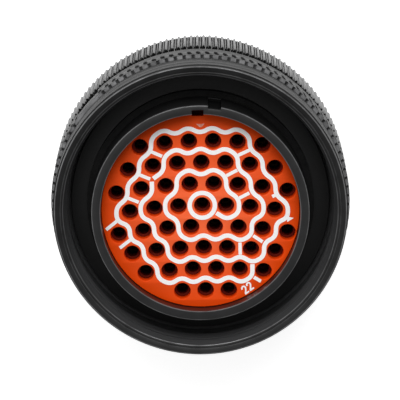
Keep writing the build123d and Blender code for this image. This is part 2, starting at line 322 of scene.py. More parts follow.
def plate(name, radius, rear, front, holes, hole_radius, round_by):
    """A disc with round holes, whose edges are rounded on both faces."""
    curve = bpy.data.curves.new(name, "CURVE")
    curve.dimensions = "2D"
    curve.fill_mode = "BOTH"
    curve.resolution_u = 6
    curve.bevel_depth = round_by * MM
    curve.bevel_resolution = 2
    curve.extrude = ((front - rear) / 2 - round_by) * MM
    rings = [((0, 0), radius - round_by, 32)] + [(h, hole_radius + round_by, 8) for h in holes]
    for (x, y), size, count in rings:
        spline = curve.splines.new("BEZIER")
        spline.bezier_points.add(count - 1)
        reach = size * 4 / 3 * np.tan(pi / 2 / count)
        for k, point in enumerate(spline.bezier_points):
            a = 2 * pi * k / count
            at = Vector((x + size * cos(a), y + size * sin(a), 0)) * MM
            along = Vector((-sin(a), cos(a), 0)) * reach * MM
            point.co = at
            point.handle_left = at - along
            point.handle_right = at + along
        spline.use_cyclic_u = True
    helper = bpy.data.objects.new(name + "_outline", curve)
    bpy.context.scene.collection.objects.link(helper)
    bpy.context.view_layer.update()
    mesh = bpy.data.meshes.new_from_object(helper.evaluated_get(bpy.context.evaluated_depsgraph_get()))
    bpy.data.objects.remove(helper)
    bpy.data.curves.remove(curve)
    mesh.name = name
    mesh.transform(Matrix.Translation((0, 0, (front + rear) / 2 * MM)))
    work = bmesh.new()
    work.from_mesh(mesh)
    bmesh.ops.remove_doubles(work, verts=work.verts, dist=0.002 * MM)
    bmesh.ops.recalc_face_normals(work, faces=work.faces)
    work.to_mesh(mesh)
    work.free()
    mesh.shade_smooth()
    mesh.set_sharp_from_angle(angle=radians(40))
    item = bpy.data.objects.new(name, mesh)
    bpy.context.scene.collection.objects.link(item)
    return item


def rounded_run(points, share=0.4, steps=7):
    """A line through the points with its inner corners rounded."""
    points = [np.array(p, float) for p in points]
    line = [points[0]]
    for before, here, after in zip(points, points[1:], points[2:]):
        start, end = here + (before - here) * share, here + (after - here) * share
        for k in range(steps + 1):
            t = k / steps
            line.append((1 - t) ** 2 * start + 2 * t * (1 - t) * here + t**2 * end)
    line.append(points[-1])
    return np.array(line)


def ribbons(name, lines, width, bottom, top, closed=()):
    """Flat raised strokes along lines on the face, each a closed solid."""
    vertices, faces = [], []
    for number, line in enumerate(lines):
        line = np.asarray(line, float)
        loop = number in closed
        if loop:
            before, after = np.roll(line, 1, axis=0), np.roll(line, -1, axis=0)
        else:
            before = np.vstack((line[:1], line[:-1]))
            after = np.vstack((line[1:], line[-1:]))
        along = after - before
        along /= np.hypot(along[:, 0], along[:, 1])[:, None]
        side = np.c_[-along[:, 1], along[:, 0]] * width / 2
        base = len(vertices)
        level = top + 0.001 * (number % 9)
        for point, out in zip(line, side):
            for offset, z in ((out, bottom), (out * 0.97, level), (-out * 0.97, level), (-out, bottom)):
                vertices.append((point[0] + offset[0], point[1] + offset[1], z))
        count = len(line)
        for k in range(count if loop else count - 1):
            a, b = base + 4 * k, base + 4 * ((k + 1) % count)
            for m in range(4):
                n = (m + 1) % 4
                faces.append((a + m, b + m, b + n, a + n))
        if not loop:
            last = base + 4 * (count - 1)
            faces.append((base, base + 1, base + 2, base + 3))
            faces.append((last + 3, last + 2, last + 1, last))
    return new_mesh(name, vertices, faces, sharp=30)


def joined(name, *items):
    """One object from several, which each stay a closed shell."""
    with bpy.context.temp_override(
        active_object=items[0], selected_editable_objects=list(items), selected_objects=list(items)
    ):
        bpy.ops.object.join()
    items[0].name = name
    items[0].data.name = name
    return items[0]


def cut(item, cutter):
    """Takes the cutter's solid out of the item and leaves a plain mesh."""
    change = item.modifiers.new("cut", "BOOLEAN")
    change.operation = "DIFFERENCE"
    change.solver = "EXACT"
    change.object = cutter
    bpy.context.view_layer.update()
    mesh = bpy.data.meshes.new_from_object(item.evaluated_get(bpy.context.evaluated_depsgraph_get()))
    item.modifiers.clear()
    old = item.data
    item.data = mesh
    mesh.name = old.name
    bpy.data.meshes.remove(old)
    mesh.shade_smooth()
    mesh.set_sharp_from_angle(angle=radians(SHARP_ANGLE))


def cut_out(work, *items):
    """Takes a bmesh solid out of each of the items and then clears it away."""
    mesh = bpy.data.meshes.new("cutter")
    work.to_mesh(mesh)
    work.free()
    cutter = bpy.data.objects.new("cutter", mesh)
    bpy.context.scene.collection.objects.link(cutter)
    for item in items:
        cut(item, cutter)
    bpy.data.objects.remove(cutter)
    bpy.data.meshes.remove(mesh)


# Materials


class Nodes:
    """A short way to write a node tree."""

    def __init__(self, name):
        self.material = bpy.data.materials.new(name)
        self.material.use_nodes = True
        self.tree = self.material.node_tree
        self.tree.nodes.clear()
        self.output = self.add("ShaderNodeOutputMaterial")

    def add(self, kind, settings=None, **inputs):
        node = self.tree.nodes.new(kind)
        for key, value in (settings or {}).items():
            setattr(node, key, value)
        for key, value in inputs.items():
            self.feed(node.inputs[key.replace("_", " ")], value)
        return node

    def feed(self, socket, value):
        if isinstance(value, bpy.types.NodeSocket):
            self.tree.links.new(value, socket)
        else:
            socket.default_value = value

    def maths(self, operation, *values):
        node = self.add("ShaderNodeMath", {"operation": operation})
        for socket, value in zip(node.inputs, values):
            self.feed(socket, value)
        return node.outputs[0]

    def mixed(self, share, first, second):
        """A colour between two others."""
        node = self.add("ShaderNodeMix", {"data_type": "RGBA"})
        self.feed(node.inputs["Factor"], share)
        self.feed(node.inputs["A"], first)
        self.feed(node.inputs["B"], second)
        return node.outputs["Result"]

    def ranged(self, value, low, high, new_low=0.0, new_high=1.0):
        node = self.add("ShaderNodeMapRange")
        for key, number in (
            ("Value", value), ("From Min", low), ("From Max", high), ("To Min", new_low), ("To Max", new_high)
        ):
            self.feed(node.inputs[key], number)
        return node.outputs[0]

    def place(self):
        """Position in the object, in millimetres."""
        at = self.add("ShaderNodeTexCoord").outputs["Object"]
        scaled = self.add("ShaderNodeVectorMath", {"operation": "SCALE"})
        self.feed(scaled.inputs[0], at)
        scaled.inputs["Scale"].default_value = 1000
        return scaled.outputs[0]

    def height(self, at):
        """Height of a position above the connector's rear face."""
        return self.add("ShaderNodeSeparateXYZ", Vector=at).outputs["Z"]

    def off_axis(self, at):
        """Distance of a position from the connector's axis."""
        split = self.add("ShaderNodeSeparateXYZ", Vector=at).outputs
        squares = [self.maths("MULTIPLY", split[key], split[key]) for key in "XY"]
        return self.maths("SQRT", self.maths("ADD", *squares))

    def inside(self, value, low, high, fade):
        """1 between two limits, and 0 outside them beyond a short fade."""
        rising = self.ranged(value, low - fade, low)
        falling = self.ranged(value, high + fade, high)
        return self.maths("MULTIPLY", rising, falling)

    def lathe_noise(self, first, second, scale, detail, roughness):
        """Noise on radius and height alone, so the same all round, as a lathe tool leaves it."""
        section = self.add("ShaderNodeCombineXYZ")
        self.feed(section.inputs["X"], self.maths("MULTIPLY", first, scale))
        self.feed(section.inputs["Y"], self.maths("MULTIPLY", second, scale))
        return self.noise(section.outputs[0], 1.0, detail, roughness)

    def noise(self, vector, scale, detail, roughness=0.55):
        node = self.add("ShaderNodeTexNoise", Vector=vector, Scale=scale, Detail=detail, Roughness=roughness)
        return node.outputs["Fac"]

    def worn_edges(self, radius, height, edges):
        """How much the finish is rubbed off near turned edges, given as (radius, height, reach)."""
        mask = 0.0
        for at_radius, at_height, reach in edges:
            away = self.maths(
                "SQRT",
                self.maths(
                    "ADD",
                    self.maths("POWER", self.maths("SUBTRACT", radius, at_radius), 2.0),
                    self.maths("POWER", self.maths("SUBTRACT", height, at_height), 2.0),
                ),
            )
            mask = self.maths("MAXIMUM", mask, self.ranged(away, reach, reach * 0.55))
        return mask

    def bump(self, height, distance, normal=None):
        """A fine relief of the given depth in millimetres, on top of another one if given."""
        node = self.add("ShaderNodeBump", Height=height, Distance=distance * MM)
        if normal is not None:
            self.feed(node.inputs["Normal"], normal)
        return node.outputs["Normal"]

    def surface(self, **inputs):
        shader = self.add("ShaderNodeBsdfPrincipled", **inputs)
        self.tree.links.new(shader.outputs[0], self.output.inputs["Surface"])
        return self.material


GRAIN_DEPTH = 0.003
STREAK_SCALE = (0.045, 0.045, 1.9)
# Painted shade for the recess below the rim
PAINTED_SHADE_TONE = (0.002, 0.002, 0.002, 1)
# Painted light for a ring's inner wall
PAINTED_WALL_LIGHT = (0.09, 0.09, 0.092, 1)
PALE_STREAK = (0.03, 0.03, 0.03, 1)
BARE_EDGE = (0.26, 0.26, 0.265, 1)


def turned_metal(name, colour, pale, roughness, line_depth, specular, edges, deep=0.0, bore=0.0, shade_zone=None):
    """Anodised metal with fine turning lines, a slight grain, uneven gloss and rubbed edges.

    The deep share is painted shade: how much darker it is below the rim, down in the recess where
    shade falls. The bore share is painted light: how much paler a ring's inner wall is where the key
    light reaches it. A zone given as two radii and two heights hardly shines, which paints shade in a
    recess. Long streaks run round the ring's outside.
    """
    n = Nodes(name)
    at = n.place()
    z = n.height(at)
    radius = n.off_axis(at)
    lines = n.lathe_noise(radius, z, 5.0, 3.0, 0.6)
    grain = n.noise(at, 9.0, 3.0, 0.6)
    cloud = n.noise(at, 0.25, 4.0, 0.6)
    tone = n.mixed(n.ranged(cloud, 0.3, 0.7), colour, pale)
    tone = n.mixed(n.ranged(lines, 0.45, 0.75, 0.0, 0.45), tone, pale)
    # Painted shade: the deep share darkens the tone below the rim, down in the recess where shade falls
    painted_shade_below_rim = n.ranged(z, CONNECTOR_LENGTH - 0.6, CONNECTOR_LENGTH - 2.0, 0.0, deep)
    tone = n.mixed(painted_shade_below_rim, tone, PAINTED_SHADE_TONE)
    # Painted light: the ring's inner wall is made paler where the key light reaches it, less so at the
    # lead-in near the front
    inner_wall = n.ranged(radius, SKIRT_RADIUS + 0.12, SKIRT_RADIUS)
    inner_wall = n.maths("MULTIPLY", inner_wall, n.ranged(z, 26.0, 27.0))
    inner_wall = n.maths("MULTIPLY", inner_wall, n.ranged(z, 43.0, 39.5, 0.45, 1.0))
    tone = n.mixed(n.maths("MULTIPLY", inner_wall, bore), tone, PAINTED_WALL_LIGHT)

    bands = n.lathe_noise(z, radius, 0.9, 2.0, 0.5)
    gloss = n.ranged(n.maths("ADD", grain, lines), 0.7, 1.4, roughness - 0.06, roughness + 0.07)
    gloss = n.maths("ADD", gloss, n.ranged(bands, 0.35, 0.65, -0.05, 0.07))

    stretched = n.add("ShaderNodeVectorMath", {"operation": "MULTIPLY"})
    n.feed(stretched.inputs[0], at)
    n.feed(stretched.inputs[1], STREAK_SCALE)
    streaks = n.noise(stretched.outputs[0], 1.0, 3.0, 0.6)
    outside = n.ranged(radius, 33.45, 33.6)
    tone = n.mixed(n.maths("MULTIPLY", outside, n.ranged(streaks, 0.4, 0.66)), tone, PALE_STREAK)
    # Painted shade: within the zone the surface hardly shines, so the recess looks dark
    if shade_zone:
        inner, outer, low, high = shade_zone
        zone = n.maths("MULTIPLY", n.inside(radius, inner, outer, 0.05), n.inside(z, low, high, 0.05))
        specular = n.ranged(zone, 0.0, 1.0, specular, 0.02)
    shine_within = n.maths("MULTIPLY", specular, n.maths("SUBTRACT", 1.0, outside))
    shine_outside = n.maths("MULTIPLY", n.ranged(streaks, 0.34, 0.66, 0.02, 0.13), outside)

    rubbed = n.maths("MULTIPLY", n.worn_edges(radius, z, edges), n.ranged(cloud, 0.3, 0.6, 0.35, 1.0))
    rubbed = n.maths("MULTIPLY", rubbed, 0.7)
    return n.surface(
        Base_Color=n.mixed(rubbed, tone, BARE_EDGE),
        Roughness=gloss,
        Metallic=rubbed,
        Specular_IOR_Level=n.maths("ADD", shine_within, shine_outside),
        Normal=n.bump(grain, GRAIN_DEPTH, n.bump(lines, line_depth)),
    )


def brighter(colour, factor, lift=0.0):
    return [min(1, channel * factor + lift) for channel in colour[:3]] + [1]


def blasted_metal(name, colour, pale, roughness):
    """Anodised metal with a fine blasted grain, paler where handling rubbed its edges.

    The ends of the nut's ridges, at the neck, carry painted shade: they are made dark and hardly shine.
    """
    n = Nodes(name)
    at = n.place()
    grain = n.noise(at, 7.0, 4.0, 0.65)
    cloud = n.noise(at, 0.35, 3.0, 0.6)
    ridge = n.add("ShaderNodeNewGeometry").outputs["Pointiness"]
    worn = n.maths("MULTIPLY", n.ranged(ridge, 0.51, 0.6), n.ranged(cloud, 0.35, 0.65, 0.3, 1.0))
    tone = n.mixed(n.ranged(grain, 0.35, 0.7), colour, pale)
    tone = n.mixed(n.maths("MULTIPLY", worn, 0.5), tone, brighter(pale, 2.2))
    gloss = n.ranged(grain, 0.3, 0.7, roughness - 0.06, roughness + 0.1)
    # Painted shade on the ridges' ends at the neck, in the gap below the coupling ring
    ends = n.ranged(n.height(at), NUT_NECK_REAR - 0.3, NUT_NECK_REAR - 0.1)
    return n.surface(
        Base_Color=n.mixed(ends, tone, (0.004, 0.004, 0.004, 1)),
        Roughness=gloss,
        Specular_IOR_Level=n.ranged(ends, 0.0, 1.0, 0.9, 0.12),
        Normal=n.bump(grain, 0.02),
    )


def soft_rubber(name, colour, deep, roughness, rim=None):
    """Moulded rubber: a faint mottle, a soft bloom and a very fine skin.

    A rim colour, where given, is painted shade: it darkens the face from the middle outwards towards
    the barrel wall, and down into the cavities.
    """
    n = Nodes(name)
    at = n.place()
    mottle = n.noise(at, 0.7, 4.0, 0.6)
    skin = n.noise(at, 8.0, 3.0, 0.6)
    tone = n.mixed(n.ranged(mottle, 0.3, 0.7), deep, colour)
    tone = n.mixed(n.ranged(skin, 0.55, 0.85, 0.0, 0.12), tone, brighter(colour, 1.25, 0.01))
    # Painted shade: the face darkens towards the barrel wall and down the cavity walls
    if rim:
        outwards = n.maths("POWER", n.maths("DIVIDE", n.off_axis(at), INSERT_RADIUS), 1.5)
        inwards = n.ranged(n.height(at), SEAL_FRONT, SEAL_FRONT - 1.2)
        tone = n.mixed(n.maths("MAXIMUM", outwards, inwards), tone, rim)
    gloss = n.ranged(skin, 0.3, 0.7, roughness - 0.05, roughness + 0.05)
    return n.surface(Base_Color=tone, Roughness=gloss, Specular_IOR_Level=0.08, Normal=n.bump(skin, 0.008))


def moulded_plastic(name, colour, deep, roughness):
    """Moulded plastic with faint flow marks and a fine grain."""
    n = Nodes(name)
    at = n.place()
    flow = n.noise(at, 0.4, 5.0, 0.65)
    grain = n.noise(at, 6.0, 2.0, 0.5)
    tone = n.mixed(n.ranged(flow, 0.3, 0.7), deep, colour)
    gloss = n.ranged(grain, 0.3, 0.7, roughness - 0.05, roughness + 0.06)
    return n.surface(Base_Color=tone, Roughness=gloss, Specular_IOR_Level=0.08, Normal=n.bump(grain, 0.006))


def bare_metal(name, colour, pale, roughness):
    """Spring steel or plating: turned lines, light stains and a bright metal sheen."""
    n = Nodes(name)
    at = n.place()
    lines = n.lathe_noise(n.off_axis(at), n.height(at), 7.0, 2.0, 0.5)
    stain = n.noise(at, 0.5, 4.0, 0.6)
    tone = n.mixed(n.ranged(stain, 0.35, 0.7), colour, pale)
    gloss = n.ranged(n.maths("ADD", lines, stain), 0.7, 1.4, roughness - 0.08, roughness + 0.08)
    return n.surface(Base_Color=tone, Roughness=gloss, Metallic=1.0, Normal=n.bump(lines, 0.004))


def print_ink(name, thin, full):
    """Printing ink: slightly uneven cover, so that a little of the rubber shows."""
    n = Nodes(name)
    at = n.place()
    cover = n.noise(at, 2.2, 4.0, 0.6)
    skin = n.noise(at, 12.0, 2.0, 0.5)
    tone = n.mixed(n.ranged(cover, 0.3, 0.6), thin, full)
    gloss = n.ranged(skin, 0.3, 0.7, 0.5, 0.62)
    return n.surface(Base_Color=tone, Roughness=gloss, Normal=n.bump(skin, 0.004))


# Turned edges where the finish is rubbed, each as (radius, height, reach)
SHELL_EDGES = (
    (BARREL_RADIUS, CONNECTOR_LENGTH, 0.26),
    (BORE_RADIUS, CONNECTOR_LENGTH, 0.24),
)
RING_EDGES = (
    (33.52, 43.25, 0.2),
    (34.38, 32.7, 0.62),
    (32.26, 43.1, 0.14),
    (31.6, 42.9, 0.16),
    (THREAD_RADIUS, 40.3, 0.16),
)

SHELL = turned_metal(
    "shell_anodised",
    (0.011, 0.011, 0.0113, 1),
    (0.018, 0.018, 0.0185, 1),
    roughness=0.42,
    line_depth=0.004,
    specular=0.42,
    edges=SHELL_EDGES,
    # Painted shade below the rim, in the recess round the barrel
    deep=0.65,
    # Painted shade on the outer keyway's ledge and floor
    shade_zone=(23.97, 24.85, 33.0, 45.3),
)
RING = turned_metal(
    "ring_anodised",
    (0.008, 0.008, 0.008, 1),
    (0.016, 0.016, 0.0163, 1),
    roughness=0.4,
    line_depth=0.012,
    specular=0.25,
    edges=RING_EDGES,
    # Painted light on the inner wall
    bore=0.9,
    # Painted shade in the recess of the bare patch
    shade_zone=(32.5, 33.3, 21.9, 27.4),
)
NUT = blasted_metal("nut_anodised", (0.024, 0.024, 0.024, 1), (0.042, 0.042, 0.042, 1), 0.3)
STEEL = bare_metal("spring_steel", (0.42, 0.41, 0.39, 1), (0.6, 0.59, 0.57, 1), 0.34)
BLACK_RUBBER = soft_rubber("black_rubber", (0.012, 0.012, 0.012, 1), (0.006, 0.006, 0.006, 1), 0.55)
# The rim colour is painted shade at the face's edge and in its cavities
FACE_RUBBER = soft_rubber(
    "orange_rubber", (0.97, 0.155, 0.052, 1), (0.92, 0.135, 0.04, 1), 0.6, rim=(0.8, 0.06, 0.0003, 1)
)
# Painted shade: the insert is given a deep red like the rubber wall in shade, so its face deep in the
# cavities reads as shade
INSERT = moulded_plastic("insert_red_painted_shade", (0.16, 0.013, 0.004, 1), (0.11, 0.009, 0.003, 1), 0.4)
# Painted shade: the gold is made nearly black, standing for the shade deep in the cavities
CONTACT = bare_metal("gold_plating_painted_shade", (0.06, 0.025, 0.01, 1), (0.1, 0.045, 0.018, 1), 0.6)
FOLLOWER = moulded_plastic("black_plastic", (0.06, 0.06, 0.06, 1), (0.03, 0.03, 0.03, 1), 0.45)
INK = print_ink("white_ink", (0.96, 0.94, 0.94, 1), (1.0, 1.0, 1.0, 1))
FAINT_INK = print_ink("faint_ink", (0.7, 0.22, 0.13, 1), (0.8, 0.42, 0.36, 1))

MATERIALS = {
    "shell": SHELL,
    "ring": RING,
    "nut": NUT,
    "steel": STEEL,
    "black_rubber": BLACK_RUBBER,
    "face_rubber": FACE_RUBBER,
    "insert_plastic": INSERT,
    "contact_metal": CONTACT,
    "follower_plastic": FOLLOWER,
}


def dress(item, slot_name, body, *nodes):
    """Gives a piece its material and slot, puts it on its body and hides the nodes it stands for."""
    item.data.materials.clear()
    item.data.materials.append(MATERIALS[slot_name])
    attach(item, body)
    if nodes:
        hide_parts(*nodes)


# The CAD's own nodes, which stay in view where no piece replaces them
for subpart in frame["record"]["subparts"]:
    node = frame["nodes"][subpart["node"]]
    for material_slot in node.material_slots:
        material_slot.link = "OBJECT"
        material_slot.material = MATERIALS[subpart["material_slot"]]


# Plug shell, with its two keyways

shell_outline = soften(
    [
        (BORE_RADIUS, CONNECTOR_LENGTH, 0.2),
        (BARREL_RADIUS, CONNECTOR_LENGTH, 0.35),
        (BARREL_RADIUS, BORE_STEP + 0.03),
        (BARREL_RADIUS, BORE_STEP - 0.03),
        (BARREL_RADIUS, SEAL_GROOVE_FRONT),
        (SEAL_GROOVE_RADIUS, SEAL_GROOVE_FRONT),
        (SEAL_GROOVE_RADIUS, FLANGE_FRONT, 0.05),
        (FLANGE_RADIUS, FLANGE_FRONT, 0.25),
        (FLANGE_RADIUS, FLANGE_REAR),
        (BEARING_RADIUS, FLANGE_REAR, 0.05),
        (BEARING_RADIUS, GROOVE_FRONT),
        (REAR_THREAD_RADIUS, GROOVE_FRONT, 0.05),
        (REAR_THREAD_RADIUS, GROOVE_REAR, 0.05),
        (BEARING_RADIUS, GROOVE_REAR),
        (BEARING_RADIUS, BEARING_REAR),
        (REAR_THREAD_RADIUS, BEARING_REAR, 0.05),
        (REAR_THREAD_RADIUS, SHELL_REAR + 0.8),
        (REAR_THREAD_RADIUS - 0.8, SHELL_REAR),
        (REAR_BORE_RADIUS, SHELL_REAR),
        (REAR_BORE_RADIUS, RETAINER_REAR, 0.05),
        (RETAINER_GROOVE_RADIUS, RETAINER_REAR, 0.05),
        (RETAINER_GROOVE_RADIUS, STACK_REAR, 0.05),
        (REAR_BORE_RADIUS, STACK_REAR, 0.05),
        (REAR_BORE_RADIUS, BORE_STEP, 0.05),
        (BORE_RADIUS, BORE_STEP),
        (BORE_RADIUS, CONNECTOR_LENGTH - 0.6),
    ]
)


# Half angles of the keyways, which have their full width at these radii
INNER_KEY_RADIUS = 23.4
OUTER_KEY_RADIUS = 24.6
INNER_KEY_HALF = degrees(asin(KEYWAY_WIDTH / 2 / INNER_KEY_RADIUS))
OUTER_KEY_HALF = degrees(asin(OUTER_KEYWAY_WIDTH / 2 / OUTER_KEY_RADIUS))
WALL_MIDDLE = 24.0


def keyways(angle, radius, height):
    """Broaches the insert keyway inside the barrel and the outer keyway beside it."""
    above = height > BORE_STEP
    inner_wall = above & (radius < WALL_MIDDLE)
    outer_wall = above & (radius >= WALL_MIDDLE)
    in_key = np.abs(angle - KEYWAY_ANGLE) <= INNER_KEY_HALF
    out_key = np.abs(angle - OUTER_KEYWAY_ANGLE) <= OUTER_KEY_HALF
    new_radius = radius.copy()
    new_radius[inner_wall & in_key] += KEYWAY_DEPTH
    new_radius[outer_wall & out_key] -= OUTER_KEYWAY_DEPTH
    return new_radius, height


keyway_edges = [
    middle + side * half
    for middle, half in ((KEYWAY_ANGLE, INNER_KEY_HALF), (OUTER_KEYWAY_ANGLE, OUTER_KEY_HALF))
    for side in (-1, 1)
]
shell_angles = with_edges(even_turn(384), keyway_edges)
shell = lathe("shell_body", shell_outline, shell_angles, keyways)
dress(shell, "shell", "shell", "plug_shell")


# Coupling ring: turned body with its inner thread, and the knurled band

THREAD_PITCH = 1.5
THREAD_DEPTH = 0.32
THREAD_FRONT = 39.9
THREAD_REAR = 33.6
CHANNEL_RADIUS = 33.4
RECESS_RADIUS = 33.1
thread_rows = [(THREAD_RADIUS, z) for z in np.arange(THREAD_FRONT, THREAD_REAR - 0.1, -0.16)]
ring_outline = soften(
    [
        (SKIRT_RADIUS, RING_REAR),
        (33.9, RING_REAR, 0.3),
        (33.9, KNURL_REAR - 0.1, 0.1),
        (CHANNEL_RADIUS, KNURL_REAR + 0.02, 0),
        (CHANNEL_RADIUS, RECESS_FRONT - 0.02, 0),
        (CHANNEL_RADIUS, RECESS_FRONT + 0.02, 0),
        (CHANNEL_RADIUS, KNURL_CHAMFER, 0),
        (CHANNEL_RADIUS, KNURL_FRONT - 0.02, 0),
        (RING_REAR_RADIUS, KNURL_FRONT + 0.05, 0.05),
        (RING_RADIUS, 42.25, 0.04),
        (RING_RADIUS - 0.24, 42.3, 0.03),
        (RING_RADIUS - 0.28, 43.1, 0.1),
        (33.46, 43.38, 0.12),
        (32.4, 43.14, 0.04),
        (32.32, 42.98, 0.02),
        (32.2, 42.98, 0.02),
        (32.12, 43.1, 0.05),
        (31.56, 42.95, 0.14),
        (THREAD_RADIUS, 40.4, 0.2),
        *thread_rows,
        (THREAD_RADIUS, RELIEF_FRONT, 0.08),
        (RELIEF_RADIUS, RELIEF_FRONT, 0.05),
        (RELIEF_RADIUS, SHOULDER_FRONT, 0.05),
        (SHOULDER_RADIUS, SHOULDER_FRONT),
        (SHOULDER_RADIUS, SHOULDER_REAR),
        (SKIRT_RADIUS, SHOULDER_REAR, 0.05),
    ]
)


def ring_shape(angle, radius, height):
    """Cuts the fine inner thread and the recess of the bare patch."""
    new_radius = radius.copy()
    phase = (height / THREAD_PITCH - angle / 360) % 1
    depth = THREAD_DEPTH * np.abs(2 * phase - 1)
    fade = np.clip(THREAD_FRONT - height, 0, 1) * np.clip((height - THREAD_REAR) / 0.8, 0, 1)
    threaded = (radius < THREAD_RADIUS + 0.05) & (height > THREAD_REAR - 0.2) & (height < THREAD_FRONT + 0.3)
    new_radius[threaded] += (depth * fade)[threaded]
    in_patch = (angle >= PATCH[0]) & (angle <= PATCH[1])
    in_band = in_patch & (radius > CHANNEL_RADIUS - 0.1) & (height > KNURL_REAR) & (height < KNURL_FRONT)
    new_radius[in_band & (height < RECESS_FRONT)] = RECESS_RADIUS
    front = in_band & (height > RECESS_FRONT)
    slope = [KNURL_RADIUS - 0.03, RING_REAR_RADIUS + 0.05]
    new_radius[front] = np.interp(height[front], [KNURL_CHAMFER, KNURL_FRONT], slope)
    return new_radius, height


ring_angles = with_edges(even_turn(480), PATCH)
ring_body = lathe("ring_body", ring_outline, ring_angles, ring_shape)

PITS_PER_TURN = 104
PIT_STEP = 360 / PITS_PER_TURN
PIT_ROWS = (29.1, 33.8)
PIT_HALF_LENGTH = 2.0
PIT_HALF_SHARE = 0.21
PIT_SLANT = 0.1
PIT_SHIFT = 0.22
PIT_DEPTH = 0.95
PIT_FLOOR = 33.5
BAND_INNER_RADIUS = 33.3
band_rows = np.arange(KNURL_REAR + 0.3, KNURL_CHAMFER, 0.22)
band_outline = np.array(
    [(BAND_INNER_RADIUS, KNURL_REAR + 0.01), (33.9, KNURL_REAR), (KNURL_RADIUS - 0.1, KNURL_REAR + 0.12)]
    + [(KNURL_RADIUS, z) for z in band_rows]
    + [(KNURL_RADIUS - 0.72 * t, KNURL_CHAMFER + 0.82 * t) for t in np.linspace(0, 1, 5)]
    + [(BAND_INNER_RADIUS, KNURL_FRONT + 0.1)]
)


def knurl(angle, radius, height):
    """Presses rows of slim steep slots into the band, each row half a step round from the last."""
    new_radius = radius.copy()
    outer = (radius > 33.95) & (height > KNURL_REAR + 0.2)
    depth = np.zeros_like(radius)
    for row, middle in enumerate(PIT_ROWS):
        up = (height - middle) / PIT_HALF_LENGTH
        shift = PIT_SHIFT + 0.5 * row + PIT_SLANT * up
        across = ((angle / PIT_STEP + shift + 0.5) % 1 - 0.5) / PIT_HALF_SHARE
        reach = (np.abs(across) ** 3 + np.abs(up) ** 3) ** (1 / 3)
        depth = np.maximum(depth, np.clip((1.05 - reach) / 0.3, 0, 1))
    new_radius[outer] = np.maximum(radius - PIT_DEPTH * depth, PIT_FLOOR)[outer]
    return new_radius, height


band_span = 360 - (PATCH[1] - PATCH[0])
band_angles = np.linspace(PATCH[1], PATCH[0] + 360, int(band_span / PIT_STEP * 12) + 1)
knurl_band = lathe("ring_knurl", band_outline, band_angles, knurl, sharp=50)

WIRE_HOLE_REACH = (KNURL_RADIUS - 4.15, KNURL_RADIUS + 0.6)
wire_hole = bmesh.new()
bmesh.ops.create_cone(
    wire_hole,
    cap_ends=True,
    segments=40,
    radius1=WIRE_HOLE_RADIUS * MM,
    radius2=WIRE_HOLE_RADIUS * MM,
    depth=(WIRE_HOLE_REACH[1] - WIRE_HOLE_REACH[0]) * MM,
    matrix=Matrix.Translation((0, 0, (KNURL_FRONT + KNURL_REAR) / 2 * MM))
    @ Matrix.Rotation(radians(WIRE_HOLE_ANGLE), 4, "Z")
    @ Matrix.Rotation(radians(90), 4, "Y")
    @ Matrix.Translation((0, 0, sum(WIRE_HOLE_REACH) / 2 * MM)),
)
cut_out(wire_hole, ring_body, knurl_band)
dress(ring_body, "ring", "ring", "coupling_ring")
dress(knurl_band, "ring", "ring")


# Grip nut, serrated all round

# The outline's points that the ridges lift stand a hair outside the valleys' radius
LIFTED = NUT_ROOT_RADIUS + 0.01
LIFTED_END = NUT_ROOT_RADIUS + 0.005
nut_outline = soften(
    [
        (NUT_BORE_RADIUS, NUT_LIP, 0.2),
        (NUT_BORE_RADIUS, 1.2, 0.3),
        (NUT_BORE_RADIUS + 1.2, 0.0, 0.3),
        (34.3, 0.0, 0.3),
        (NUT_RIM_RADIUS, 0.35, 0.15),
        (NUT_RIM_RADIUS, 0.95, 0),
        (LIFTED, 1.3, 0),
        (LIFTED, 9.5, 0),
        (LIFTED, NUT_NECK_REAR - 0.15, 0),
        (LIFTED_END, NUT_NECK_REAR, 0),
        (NUT_NECK_RADIUS, NUT_NECK_REAR, 0.1),
        (NUT_NECK_RADIUS, NUT_FRONT, 0.25),
        (NUT_SEAL_RADIUS, NUT_FRONT, 0.1),
        (NUT_SEAL_RADIUS, NUT_SEAL_REAR, 0.05),
        (REAR_THREAD_RADIUS + 0.05, NUT_SEAL_REAR, 0.05),
        (REAR_THREAD_RADIUS + 0.05, NUT_LIP, 0.05),
    ],
    steps=2,
)


def half_round(across, centre, half_width, height):
    """A ridge's height at a place within its step."""
    return np.clip(1 - ((across - centre) / half_width) ** 2, 0, 1) ** 0.5 * height


def ridges(angle, radius, height):
    """Broad half-round ridges with a slim one in each valley."""
    new_radius = radius.copy()
    across = (angle * NUT_RIDGE_COUNT / 360) % 1
    profile = np.maximum(half_round(across, 0.36, 0.28, 0.86), half_round(across, 0.83, 0.14, 0.62))
    full = radius > LIFTED - 0.002
    ends = (radius > LIFTED_END - 0.002) & ~full
    new_radius[full] = np.maximum(radius, LIFTED + profile)[full]
    new_radius[ends] += np.maximum(profile - 0.12, 0)[ends]
    new_radius[height < 0.3] = radius[height < 0.3]
    return new_radius, height


nut = lathe("nut_body", nut_outline, even_turn(NUT_RIDGE_COUNT * 16), ridges, sharp=50)
dress(nut, "nut", "shell", "grip_nut")


# Insert stack: soft face, moulded insert and rear grommet with round bores

INSERT_HOLE = 1.35
GROMMET_HOLE = 1.3
INSERT_KEY_FRONT = 37.0
INSERT_KEY_RADII = (22.5, 23.8)
INSERT_KEY_HALF = 3.1

face = plate("face_body", INSERT_RADIUS, SEAL_REAR, SEAL_FRONT, CAVITIES, MOUTH_RADIUS, 0.16)
notch = bmesh.new()
bmesh.ops.create_cube(
    notch,
    size=1.0,
    matrix=Matrix.Translation((0, BORE_RADIUS * MM, 40 * MM))
    @ Matrix.Diagonal((KEYWAY_WIDTH * MM, 2.0 * MM, 8 * MM, 1)),
)
cut_out(notch, face)
dress(face, "face_rubber", "shell", "face_seal")

